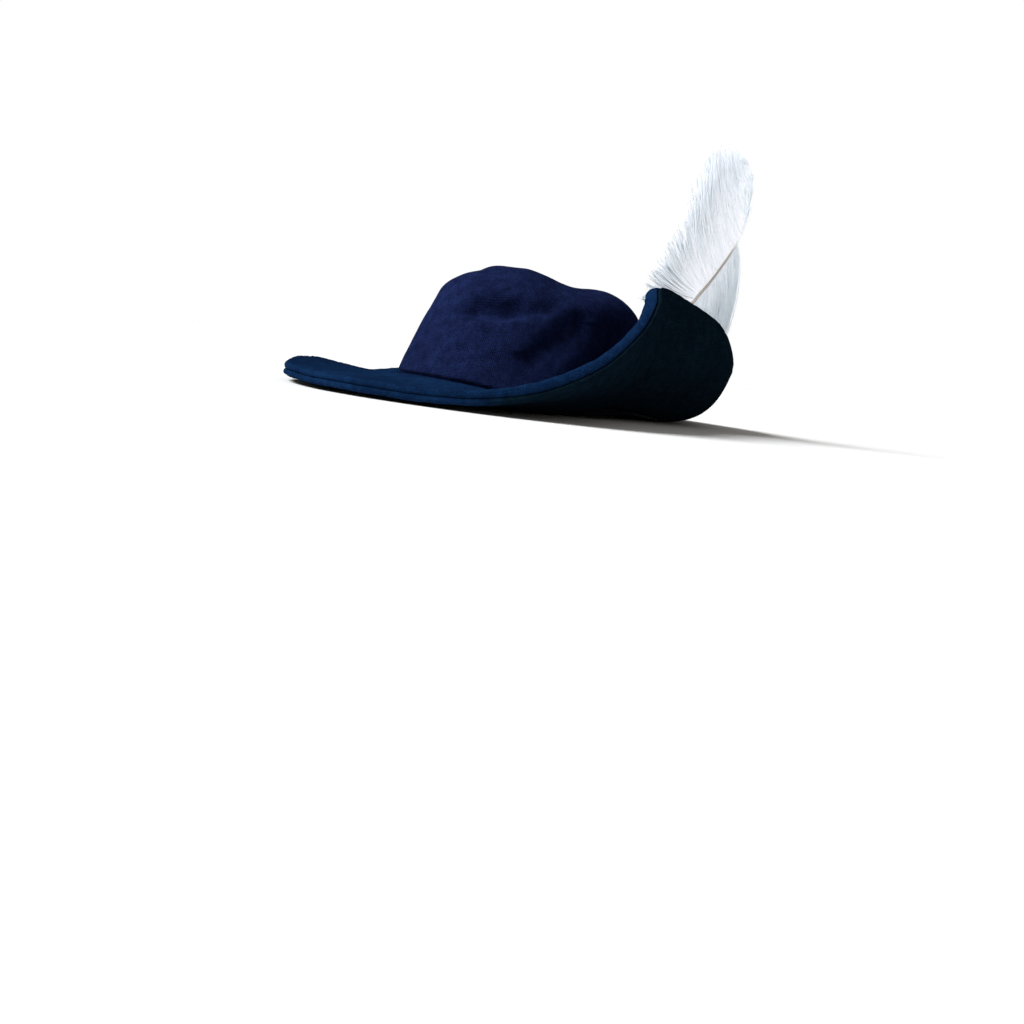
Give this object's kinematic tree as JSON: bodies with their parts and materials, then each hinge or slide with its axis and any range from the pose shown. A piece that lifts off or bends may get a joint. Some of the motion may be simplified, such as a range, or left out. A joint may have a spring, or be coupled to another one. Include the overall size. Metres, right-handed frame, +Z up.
{
  "type": "feathered hat",
  "caption": "soft navy cloth cavalier hat, dented hollow crown, padded two-layer brim turned up on the wearer's left, white ostrich plume tucked behind the turned-up side",
  "frame": {"origin": "on the floor, in the middle of the hat's footprint", "axes": "the hat faces -Y, the wearer's left with the turned-up brim is +X, and +Z is up"},
  "size_m": [0.3236, 0.3476, 0.2044],
  "materials": {
    "navy_cloth": "matt brushed cotton",
    "dark_navy_cloth": "matt brushed cotton",
    "feather_shaft": "satin keratin",
    "white_feather": "soft white barbs"
  },
  "bodies": {
    "root": {"crown": "navy_cloth", "brim_upper": "navy_cloth", "brim_under": "dark_navy_cloth", "feather_quill": "feather_shaft", "feather_plume": "white_feather"}
  },
  "joints": []
}
